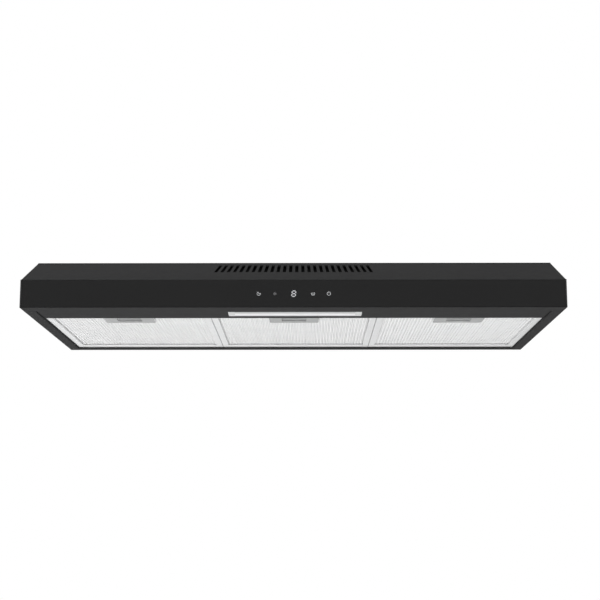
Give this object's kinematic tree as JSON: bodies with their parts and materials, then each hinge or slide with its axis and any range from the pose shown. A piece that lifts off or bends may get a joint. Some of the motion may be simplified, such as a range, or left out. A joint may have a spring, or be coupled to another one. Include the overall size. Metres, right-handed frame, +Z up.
{
  "type": "under cabinet range hood",
  "caption": "Slim under cabinet range hood with a slotted slope, dark glass touch fascia, lamp strip, latched mesh filters and an internal blower with a flap damper.",
  "frame": {"origin": "centre of the four cabinet screw holes on the upper face of the top panel", "axes": "+X to the right of a person facing the hood, +Y towards the wall behind it, +Z up"},
  "size_m": [0.9, 0.49, 0.1365],
  "materials": {
    "black_coat": "satin powder coat",
    "dark_glass": "gloss",
    "frosted": "frosted",
    "clear_grey": "satin",
    "aluminium": "satin",
    "galvanised": "spangled zinc",
    "steel": "bright",
    "grey_plastic": "fine texture",
    "dark_plastic": "fine texture",
    "white_plastic": "matte",
    "motor_paint": "semi gloss",
    "board_green": "satin",
    "rubber": "matte"
  },
  "bodies": {
    "hood": {"top_panel": "black_coat", "vent_panel": "black_coat", "rear_panel": "black_coat", "side_panel_left": "black_coat", "side_panel_right": "black_coat", "front_frame": "black_coat", "fascia_glass": "dark_glass", "lamp_panel": "black_coat", "light_diffuser": "frosted", "diffuser_end_caps": "clear_grey", "lamp_housing": "galvanised", "led_board": "board_green", "duct_collar": "galvanised", "damper_rod": "steel", "blower_scroll": "galvanised", "blower_base": "galvanised", "motor_support": "galvanised", "motor": "motor_paint", "power_box": "dark_plastic", "power_board": "board_green", "capacitor": "white_plastic", "entry_plate": "black_coat", "cord_gland": "rubber", "board_holder": "dark_plastic", "control_board": "board_green", "display_module": "dark_plastic", "touch_pads": "rubber"},
    "impeller": {"impeller": "dark_plastic", "motor_shaft": "steel", "impeller_nut": "steel"},
    "flap_left": {"damper_flap_left": "aluminium"},
    "flap_right": {"damper_flap_right": "aluminium"},
    "filter_left": {"filter_frame_left": "aluminium", "filter_mesh_left": "aluminium", "filter_core_left": "aluminium", "latch_housing_left": "grey_plastic", "latch_spring_left": "steel"},
    "latch_left": {"latch_slider_left": "grey_plastic"},
    "filter_centre": {"filter_frame_centre": "aluminium", "filter_mesh_centre": "aluminium", "filter_core_centre": "aluminium", "latch_housing_centre": "grey_plastic", "latch_spring_centre": "steel"},
    "latch_centre": {"latch_slider_centre": "grey_plastic"},
    "filter_right": {"filter_frame_right": "aluminium", "filter_mesh_right": "aluminium", "filter_core_right": "aluminium", "latch_housing_right": "grey_plastic", "latch_spring_right": "steel"},
    "latch_right": {"latch_slider_right": "grey_plastic"}
  },
  "joints": [
    {"name": "impeller_spin", "type": "hinge", "parent": "hood", "child": "impeller", "pos_m": [-0.15, -0.04035, -0.04], "axis": [0, 0, 1], "continuous": true},
    {"name": "flap_left_swing", "type": "hinge", "parent": "hood", "child": "flap_left", "pos_m": [0, 0.0645, 0.008], "axis": [0, 1, 0], "range_deg": [0, 75]},
    {"name": "flap_right_swing", "type": "hinge", "parent": "hood", "child": "flap_right", "pos_m": [0, 0.0645, 0.008], "axis": [0, -1, 0], "range_deg": [0, 75]},
    {"name": "filter_left_tilt", "type": "hinge", "parent": "hood", "child": "filter_left", "pos_m": [-0.287, 0.1617, -0.1025], "axis": [1, 0, 0], "range_deg": [0, 60]},
    {"name": "latch_left_slide", "type": "slide", "parent": "filter_left", "child": "latch_left", "axis": [0, 1, 0], "range_m": [0, 0.006], "stiffness_N_per_m": 300, "springref_m": -0.004, "deforming": ["latch_spring_left"]},
    {"name": "filter_centre_tilt", "type": "hinge", "parent": "hood", "child": "filter_centre", "pos_m": [0, 0.1617, -0.1025], "axis": [1, 0, 0], "range_deg": [0, 60]},
    {"name": "latch_centre_slide", "type": "slide", "parent": "filter_centre", "child": "latch_centre", "axis": [0, 1, 0], "range_m": [0, 0.006], "stiffness_N_per_m": 300, "springref_m": -0.004, "deforming": ["latch_spring_centre"]},
    {"name": "filter_right_tilt", "type": "hinge", "parent": "hood", "child": "filter_right", "pos_m": [0.287, 0.1617, -0.1025], "axis": [1, 0, 0], "range_deg": [0, 60]},
    {"name": "latch_right_slide", "type": "slide", "parent": "filter_right", "child": "latch_right", "axis": [0, 1, 0], "range_m": [0, 0.006], "stiffness_N_per_m": 300, "springref_m": -0.004, "deforming": ["latch_spring_right"]}
  ]
}
